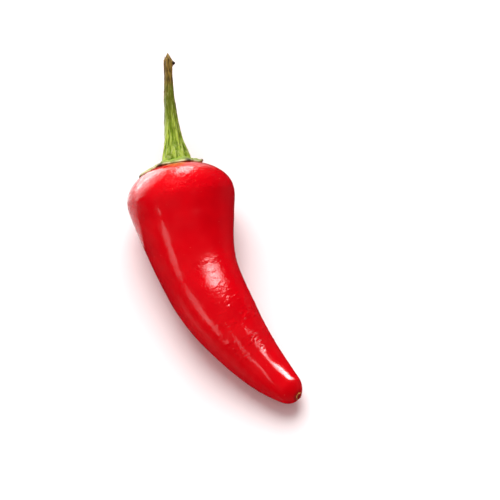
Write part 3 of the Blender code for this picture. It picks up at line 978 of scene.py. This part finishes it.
stub_turn = math.radians(STUB_ANGLE)
stub_foot = smooth_through(STEM_RADII, STUB_HEIGHT)
stub_lean = smooth_through(STEM_LEAN, STUB_HEIGHT)
stub_place = on_crown(
    (stub_lean + stub_foot * math.cos(stub_turn), stub_foot * math.sin(stub_turn), -STUB_HEIGHT)
)
stem_sizes = {
    "Sides": 120,
    "Ridges": float(STEM_RIDGES),
    "Ridge Depth": 0.08,
    "Groove Depth": 0.10,
    "Groove Width": 0.24,
    "Fibre Depth": 0.06,
    "Fibre Width": 0.09,
    "Grain Run": 1.4,
    "Twist": math.radians(STEM_TWIST),
    "Knot Height": 0.25 * MM,
    "Knot Size": 2.2 * MM,
    "Stub Place": tuple(stub_place),
    "Stub Length": STUB_LENGTH,
    "Stub Width": STUB_WIDTH,
    "Seed": 6.0,
    "Material": fibrous_stalk(),
}
stem = grow("cut_stem", stem_path(), stalk_tree(), stem_sizes)
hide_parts("stem")
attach(stem, "root")


# The torn fibres: stiff brown splinters that stand round the stem's end. They are the strands of the
# stalk's own wood, left uneven and a little splayed where it was torn off, and they have since dried.
FIBRES = 7
FIBRE_LENGTH = 1.1 * MM
FIBRE_RADIUS = 0.22 * MM
FIBRE_POINT = 0.01 * MM
FIBRE_LEAN = 0.22  # sideways for each unit of length, either way
FIBRE_STRETCH_LEAST = (0.7, 0.7, 0.35)
FIBRE_STRETCH_MOST = (1.3, 1.3, 1.4)
FIBRE_RING_RADIUS = 0.90 * MM
FIBRE_SINK = 0.2 * MM


def fibre_tree():
    """Splinters of uneven length along a curve, all pointing one way with a little lean."""
    tree, given = shape_tree(
        "torn_splinters",
        {
            "Count": ("Int", 7),
            "Length": ("Float", 0.001),
            "Radius": ("Float", 0.0002),
            "Direction": ("Vector", (0.0, 0.0, 1.0)),
            "Seed": ("Int", 0),
        },
    )
    inputs = {
        "Vertices": 9,
        "Side Segments": 8,
        "Radius Top": FIBRE_POINT,
        "Radius Bottom": given["Radius"],
        "Depth": given["Length"],
    }
    splinter = node(tree, "GeometryNodeMeshCone", inputs)
    lean = random_vector(tree, (-FIBRE_LEAN,) * 3, (FIBRE_LEAN,) * 3, given["Seed"])
    leaning = vector_maths(tree, "ADD", given["Direction"], lean)
    turn = node(tree, "FunctionNodeAlignRotationToVector", {"Vector": leaning}, axis="Z").outputs[0]
    stretch = random_vector(tree, FIBRE_STRETCH_LEAST, FIBRE_STRETCH_MOST, given["Seed"])
    return finish_tree(tree, given, copies_along(tree, given, splinter, turn, stretch))


def dry_fibre():
    """Dry brown fibre, streaked with ochre."""
    material, tree, shader = new_material("dry_fibre", IOR=1.45, Roughness=0.65, Specular_IOR_Level=0.3)
    place = object_place(tree)
    streak = mottle(tree, place, size=0.4 * MM, seed=3.0, edges=(0.4, 0.6), detail=2.0)
    feed(tree, shader.inputs["Base Color"], blend_colour(tree, streak, STEM_UMBER, STEM_BROWN))
    return material


crown_right, crown_up, crown_tipward = ring_frame(CROWN_HEADING, CROWN_PITCH)
stem_top = on_crown((smooth_through(STEM_LEAN, STEM_END), 0.0, -(STEM_END - FIBRE_SINK)))
fibre_ring = ring_path("fibre_ring", stem_top, crown_right, crown_up, FIBRE_RING_RADIUS)
fibre_sizes = {
    "Count": FIBRES,
    "Length": FIBRE_LENGTH,
    "Radius": FIBRE_RADIUS,
    "Direction": tuple(-crown_tipward),
    "Seed": 2,
    "Material": dry_fibre(),
}
fibres = grow("torn_fibres", fibre_ring, fibre_tree(), fibre_sizes)
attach(fibres, "root")


# The floor: a plain white sheet, laid flat under the pepper and wide enough to fill every view. It takes
# the soft shadow, and the gloss of the skin doesn't mirror it.
FLOOR_SIDE = 8.0
FLOOR_WHITE = (0.92, 0.92, 0.92, 1.0)

half_side = FLOOR_SIDE / 2
corners = [(x * half_side, y * half_side, 0.0) for x, y in ((-1, -1), (1, -1), (1, 1), (-1, 1))]
floor_mesh = bpy.data.meshes.new("floor")
floor_mesh.from_pydata(corners, [], [(0, 1, 2, 3)])
floor_mesh.materials.append(new_material("white_sheet", Base_Color=FLOOR_WHITE, Roughness=0.9)[0])
floor = bpy.data.objects.new("floor", floor_mesh)
bpy.context.scene.collection.objects.link(floor)
floor.visible_glossy = False


# The lights: a broad white key from beyond the stem and a pink fill from overhead make the tones and the
# soft shadow. White cards and small gridded soft boxes round the pepper make the highlights on its waxy
# skin: they show in the gloss alone.
WHITE_LIGHT = (1.0, 1.0, 1.0)
FILL_PINK = (1.0, 0.72, 0.73)
SUNS = (  # name, direction it shines from, strength, breadth in degrees and colour
    ("key", (-70, 400, 500), 3.5, 45, WHITE_LIGHT),
    ("fill", (-120, 0, 480), 1.7, 120, FILL_PINK),
)
# name, place, aim, width and height in millimetres, brightness, and the angle that its grid lets out
SOFT_BOXES = (
    ("window_box", (25.5, -14.8, 54), (7, -26, 21), 11, 60, 18.0, 56),
    ("strip_box", (61, -38, 32), (31, -54, 10.7), 9, 60, 28.0, 58),
    ("left_box", (-43, -79, 58), (4, -33, 16), 66, 28, 2.0, 56),
    ("tip_box", (21, -87, 62), (24.5, -52, 11.4), 6, 28, 2.6, 60),
    ("left_wall", (-52, 38, 30), (-8, 4, 44), 88, 60, 4.8, 84),
    ("far_sheet", (-53, 60, 0.5), (-53, 60, 100), 76, 76, 2.6, 180),
    ("near_sheet", (-43, 14, 0.5), (-43, 14, 100), 58, 20, 1.1, 180),
    ("mid_sheet", (-43, -4, 0.5), (-43, -4, 100), 58, 16, 0.6, 180),
    ("back_sheet", (6, 55, 0.5), (6, 55, 100), 18, 60, 0.6, 180),
    ("back_wall", (2, 90, 30), (2, 0, 30), 31, 64, 7.5, 180),
    ("low_sheet", (-45, -70, 0.5), (-45, -70, 100), 30, 42, 0.22, 180),
)
OPEN_FACE = 180  # the angle of a card or box without a grid


def add_light(name, kind, place, aim, **settings):
    """A light at a place in millimetres, turned to another, which the camera itself never sees."""
    data = bpy.data.lights.new(name, kind)
    for setting, value in settings.items():
        setattr(data, setting, value)
    light = bpy.data.objects.new(name, data)
    bpy.context.scene.collection.objects.link(light)
    light.location = Vector(place) * MM
    light.rotation_mode = "QUATERNION"
    light.rotation_quaternion = (Vector(place) - Vector(aim)).to_track_quat("Z", "Y")
    light.visible_camera = False
    return light


for name, place, power, breadth, colour in SUNS:
    sun = add_light(name, "SUN", place, (0, 0, 0), energy=power, angle=math.radians(breadth), color=colour)
    sun.visible_glossy = False

for name, place, aim, width, height, brightness, grid in SOFT_BOXES:
    half = math.radians(grid) / 2
    held_back = 1 - half / math.tan(half) if grid < OPEN_FACE else 1.0
    watts = brightness * math.pi * width * height * MM**2 * held_back
    box = add_light(name, "AREA", place, aim, energy=watts, shape="RECTANGLE")
    box.data.size = width * MM
    box.data.size_y = height * MM
    box.data.spread = half * 2
    box.visible_diffuse = False


# The room: pure white where the camera sees it, and almost dark where it lights the pepper. Between the
# soft boxes, the gloss mirrors a dim red.
ROOM_WHITE = (1.0, 1.0, 1.0, 1.0)
ROOM_DARK = (0.004, 0.004, 0.004, 1.0)
GLOSS_RED = (0.22, 0.006, 0.012, 1.0)

world = bpy.data.worlds.new("studio")
bpy.context.scene.world = world
world.use_nodes = True
sky = world.node_tree
ray = node(sky, "ShaderNodeLightPath").outputs
surroundings = blend_colour(sky, ray["Is Glossy Ray"], ROOM_DARK, GLOSS_RED)
seen = blend_colour(sky, ray["Is Camera Ray"], surroundings, ROOM_WHITE)
feed(sky, sky.nodes["Background"].inputs["Color"], seen)


# The camera: it looks down on the pepper, which lies on its side, from far enough off that its outline
# falls as it does in the photograph.
CAMERA_PLACE = (0.01936, -0.2158, 0.63215)
CAMERA_RISE = 72  # degrees above the floor
CAMERA_LENS = 170.0  # millimetres, as is the film's width
CAMERA_FILM = 36.0

camera_data = bpy.data.cameras.new("camera")
camera_data.lens = CAMERA_LENS
camera_data.sensor_width = CAMERA_FILM
camera_data.clip_start = 0.01
camera = bpy.data.objects.new("camera", camera_data)
bpy.context.scene.collection.objects.link(camera)
camera.location = CAMERA_PLACE
camera.rotation_euler = (math.radians(90 - CAMERA_RISE), 0.0, 0.0)
bpy.context.scene.camera = camera
bpy.context.scene.view_settings.view_transform = "Standard"
